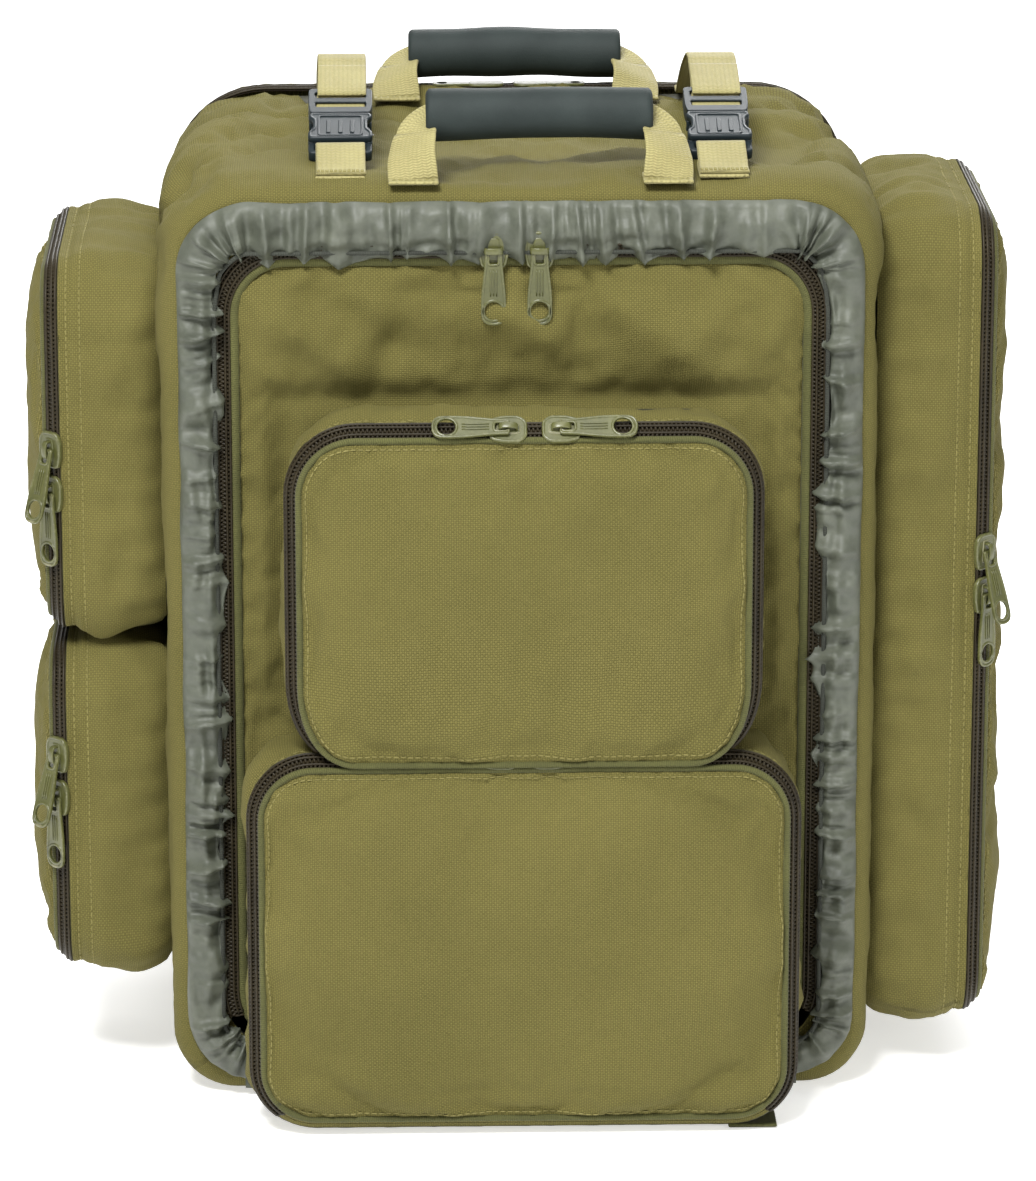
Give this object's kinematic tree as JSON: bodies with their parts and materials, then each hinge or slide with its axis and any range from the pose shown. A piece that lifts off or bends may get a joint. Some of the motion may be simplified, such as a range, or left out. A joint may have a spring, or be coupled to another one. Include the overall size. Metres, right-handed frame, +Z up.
{
  "type": "fishing backpack",
  "caption": "Padded olive fishing backpack with zipped front, side and back compartments, gathered skirt, foam grips and top straps.",
  "frame": {"origin": "bottom centre of the overall box", "axes": "+Z up, +X to the right of someone facing the front pockets, +Y from the front pockets to the wearer's back"},
  "size_m": [0.5032, 0.3906, 0.521],
  "materials": {
    "main_fabric": "coarse coated weave, matt, olive",
    "webbing": "cross-ribbed, straw-khaki",
    "zip_chain": "coil and woven tape, dark brown",
    "skirt_cloth": "thin coated cloth, satin, grey-green",
    "elastic": "covered elastic, dark",
    "buckle_plastic": "satin moulded, dark slate",
    "grip_foam": "fine closed-cell foam, dark",
    "enamelled_metal": "satin enamel, olive green"
  },
  "bodies": {
    "bag": {"main_shell": "main_fabric", "rear_shell": "main_fabric", "rain_skirt": "skirt_cloth", "skirt_elastic": "elastic", "bag_zip_tapes": "zip_chain", "left_upper_pocket": "main_fabric", "left_lower_pocket": "main_fabric", "right_pocket": "main_fabric", "top_webbing": "webbing", "top_strap_sockets": "buckle_plastic"},
    "front_door": {"front_door_panel": "main_fabric", "front_door_zip_tapes": "zip_chain", "upper_front_pocket": "main_fabric", "lower_front_pocket": "main_fabric", "pocket_hem_tab": "webbing"},
    "upper_flap": {"upper_pocket_flap": "main_fabric", "upper_flap_zip_tape": "zip_chain"},
    "lower_flap": {"lower_pocket_flap": "main_fabric", "lower_flap_zip_tape": "zip_chain"},
    "left_upper_flap": {"left_upper_flap": "main_fabric", "left_upper_flap_zip_tape": "zip_chain"},
    "left_lower_flap": {"left_lower_flap": "main_fabric", "left_lower_flap_zip_tape": "zip_chain"},
    "right_flap": {"right_flap": "main_fabric", "right_flap_zip_tape": "zip_chain"},
    "back_door": {"back_panel": "main_fabric", "back_zip_tape": "zip_chain", "shoulder_straps": "main_fabric", "harness_webbing": "webbing", "ladder_locks": "buckle_plastic"},
    "front_handle": {"front_handle_webbing": "webbing", "front_handle_grip": "grip_foam"},
    "rear_handle": {"rear_handle_webbing": "webbing", "rear_handle_grip": "grip_foam"},
    "left_strap_clip": {"left_strap_clip": "buckle_plastic"},
    "right_strap_clip": {"right_strap_clip": "buckle_plastic"},
    "main_left_slider": {"main_left_slider": "enamelled_metal"},
    "main_left_pull": {"main_left_pull": "enamelled_metal"},
    "main_right_slider": {"main_right_slider": "enamelled_metal"},
    "main_right_pull": {"main_right_pull": "enamelled_metal"},
    "upper_left_slider": {"upper_left_slider": "enamelled_metal"},
    "upper_left_pull": {"upper_left_pull": "enamelled_metal"},
    "upper_right_slider": {"upper_right_slider": "enamelled_metal"},
    "upper_right_pull": {"upper_right_pull": "enamelled_metal"},
    "left_upper_high_slider": {"left_upper_high_slider": "enamelled_metal"},
    "left_upper_high_pull": {"left_upper_high_pull": "enamelled_metal"},
    "left_upper_low_slider": {"left_upper_low_slider": "enamelled_metal"},
    "left_upper_low_pull": {"left_upper_low_pull": "enamelled_metal"},
    "left_lower_high_slider": {"left_lower_high_slider": "enamelled_metal"},
    "left_lower_high_pull": {"left_lower_high_pull": "enamelled_metal"},
    "left_lower_low_slider": {"left_lower_low_slider": "enamelled_metal"},
    "left_lower_low_pull": {"left_lower_low_pull": "enamelled_metal"},
    "right_high_slider": {"right_high_slider": "enamelled_metal"},
    "right_high_pull": {"right_high_pull": "enamelled_metal"},
    "right_low_slider": {"right_low_slider": "enamelled_metal"},
    "right_low_pull": {"right_low_pull": "enamelled_metal"},
    "lower_left_slider": {"lower_left_slider": "enamelled_metal"},
    "lower_right_slider": {"lower_right_slider": "enamelled_metal"},
    "back_left_slider": {"back_left_slider": "enamelled_metal"},
    "back_right_slider": {"back_right_slider": "enamelled_metal"}
  },
  "joints": [
    {"name": "front_door_hinge", "type": "hinge", "parent": "bag", "child": "front_door", "pos_m": [0, -0.12903, 0.002], "axis": [1, 0, 0], "range_deg": [0, 95]},
    {"name": "upper_flap_hinge", "type": "hinge", "parent": "front_door", "child": "upper_flap", "pos_m": [0, -0.19533, 0.2149], "axis": [1, 0, 0], "range_deg": [0, 92]},
    {"name": "lower_flap_hinge", "type": "hinge", "parent": "front_door", "child": "lower_flap", "pos_m": [0, -0.19533, 0.0059], "axis": [1, 0, 0], "range_deg": [0, 90]},
    {"name": "left_upper_flap_hinge", "type": "hinge", "parent": "bag", "child": "left_upper_flap", "pos_m": [-0.2479, 0.05967, 0.33775], "axis": [0, 0, -1], "range_deg": [0, 110]},
    {"name": "left_lower_flap_hinge", "type": "hinge", "parent": "bag", "child": "left_lower_flap", "pos_m": [-0.2479, 0.05967, 0.14525], "axis": [0, 0, -1], "range_deg": [0, 110]},
    {"name": "right_flap_hinge", "type": "hinge", "parent": "bag", "child": "right_flap", "pos_m": [0.2479, 0.05967, 0.2425], "axis": [0, 0, 1], "range_deg": [0, 110]},
    {"name": "back_door_hinge", "type": "hinge", "parent": "bag", "child": "back_door", "pos_m": [0, 0.15057, 0], "axis": [-1, 0, 0], "range_deg": [0, 95]},
    {"name": "front_handle_swing", "type": "hinge", "parent": "bag", "child": "front_handle", "pos_m": [0.01, -0.11943, 0.4844], "axis": [1, 0, 0], "range_deg": [-18, 130]},
    {"name": "rear_handle_swing", "type": "hinge", "parent": "bag", "child": "rear_handle", "pos_m": [0.003, 0.09457, 0.4844], "axis": [1, 0, 0], "range_deg": [0, 140]},
    {"name": "left_clip_slide", "type": "slide", "parent": "bag", "child": "left_strap_clip", "axis": [0, 0.9659, 0.2588], "range_m": [0, 0.022]},
    {"name": "right_clip_slide", "type": "slide", "parent": "bag", "child": "right_strap_clip", "axis": [0, 0.9659, 0.2588], "range_m": [0, 0.022]},
    {"name": "main_left_slider_slide", "type": "slide", "parent": "front_door", "child": "main_left_slider", "axis": [-1, 0, 0], "range_m": [0, 0.09]},
    {"name": "main_left_pull_swing", "type": "hinge", "parent": "main_left_slider", "child": "main_left_pull", "pos_m": [-0.014, -0.13473, 0.4492], "axis": [-1, 0, 0], "range_deg": [0, 110]},
    {"name": "main_right_slider_slide", "type": "slide", "parent": "front_door", "child": "main_right_slider", "axis": [1, 0, 0], "range_m": [0, 0.09]},
    {"name": "main_right_pull_swing", "type": "hinge", "parent": "main_right_slider", "child": "main_right_pull", "pos_m": [0.009, -0.13473, 0.4492], "axis": [-1, 0, 0], "range_deg": [0, 110]},
    {"name": "upper_left_slider_slide", "type": "slide", "parent": "upper_flap", "child": "upper_left_slider", "axis": [-1, 0, 0], "range_m": [0, 0.075]},
    {"name": "upper_left_pull_swing", "type": "hinge", "parent": "upper_left_slider", "child": "upper_left_pull", "pos_m": [-0.008, -0.18723, 0.37229], "axis": [0, 0.7071, 0.7071], "range_deg": [0, 110]},
    {"name": "upper_right_slider_slide", "type": "slide", "parent": "upper_flap", "child": "upper_right_slider", "axis": [1, 0, 0], "range_m": [0, 0.065]},
    {"name": "upper_right_pull_swing", "type": "hinge", "parent": "upper_right_slider", "child": "upper_right_pull", "pos_m": [0.018, -0.18723, 0.37229], "axis": [0, -0.7071, -0.7071], "range_deg": [0, 110]},
    {"name": "left_upper_high_slider_slide", "type": "slide", "parent": "left_upper_flap", "child": "left_upper_high_slider", "axis": [0, 0, 1], "range_m": [0, 0.06]},
    {"name": "left_upper_high_pull_swing", "type": "hinge", "parent": "left_upper_high_slider", "child": "left_upper_high_pull", "pos_m": [-0.23979, -0.10272, 0.34], "axis": [-0.7071, 0.7071, 0], "range_deg": [0, 110]},
    {"name": "left_upper_low_slider_slide", "type": "slide", "parent": "left_upper_flap", "child": "left_upper_low_slider", "axis": [0, 0, -1], "range_m": [0, 0.045]},
    {"name": "left_upper_low_pull_swing", "type": "hinge", "parent": "left_upper_low_slider", "child": "left_upper_low_pull", "pos_m": [-0.23979, -0.10272, 0.317], "axis": [-0.7071, 0.7071, 0], "range_deg": [0, 30]},
    {"name": "left_lower_high_slider_slide", "type": "slide", "parent": "left_lower_flap", "child": "left_lower_high_slider", "axis": [0, 0, 1], "range_m": [0, 0.022]},
    {"name": "left_lower_high_pull_swing", "type": "hinge", "parent": "left_lower_high_slider", "child": "left_lower_high_pull", "pos_m": [-0.23979, -0.10272, 0.178], "axis": [-0.7071, 0.7071, 0], "range_deg": [0, 110]},
    {"name": "left_lower_low_slider_slide", "type": "slide", "parent": "left_lower_flap", "child": "left_lower_low_slider", "axis": [0, 0, -1], "range_m": [0, 0.06]},
    {"name": "left_lower_low_pull_swing", "type": "hinge", "parent": "left_lower_low_slider", "child": "left_lower_low_pull", "pos_m": [-0.23979, -0.10272, 0.155], "axis": [-0.7071, 0.7071, 0], "range_deg": [0, 30]},
    {"name": "right_high_slider_slide", "type": "slide", "parent": "right_flap", "child": "right_high_slider", "axis": [0, 0, 1], "range_m": [0, 0.135]},
    {"name": "right_high_pull_swing", "type": "hinge", "parent": "right_high_slider", "child": "right_high_pull", "pos_m": [0.23979, -0.10272, 0.283], "axis": [-0.7071, -0.7071, 0], "range_deg": [0, 110]},
    {"name": "right_low_slider_slide", "type": "slide", "parent": "right_flap", "child": "right_low_slider", "axis": [0, 0, -1], "range_m": [0, 0.19]},
    {"name": "right_low_pull_swing", "type": "hinge", "parent": "right_low_slider", "child": "right_low_pull", "pos_m": [0.23979, -0.10272, 0.26], "axis": [-0.7071, -0.7071, 0], "range_deg": [0, 30]},
    {"name": "lower_left_slider_slide", "type": "slide", "parent": "lower_flap", "child": "lower_left_slider", "axis": [-1, 0, 0], "range_m": [0, 0.09]},
    {"name": "lower_right_slider_slide", "type": "slide", "parent": "lower_flap", "child": "lower_right_slider", "axis": [1, 0, 0], "range_m": [0, 0.09]},
    {"name": "back_left_slider_slide", "type": "slide", "parent": "back_door", "child": "back_left_slider", "axis": [-1, 0, 0], "range_m": [0, 0.12]},
    {"name": "back_right_slider_slide", "type": "slide", "parent": "back_door", "child": "back_right_slider", "axis": [1, 0, 0], "range_m": [0, 0.12]}
  ]
}
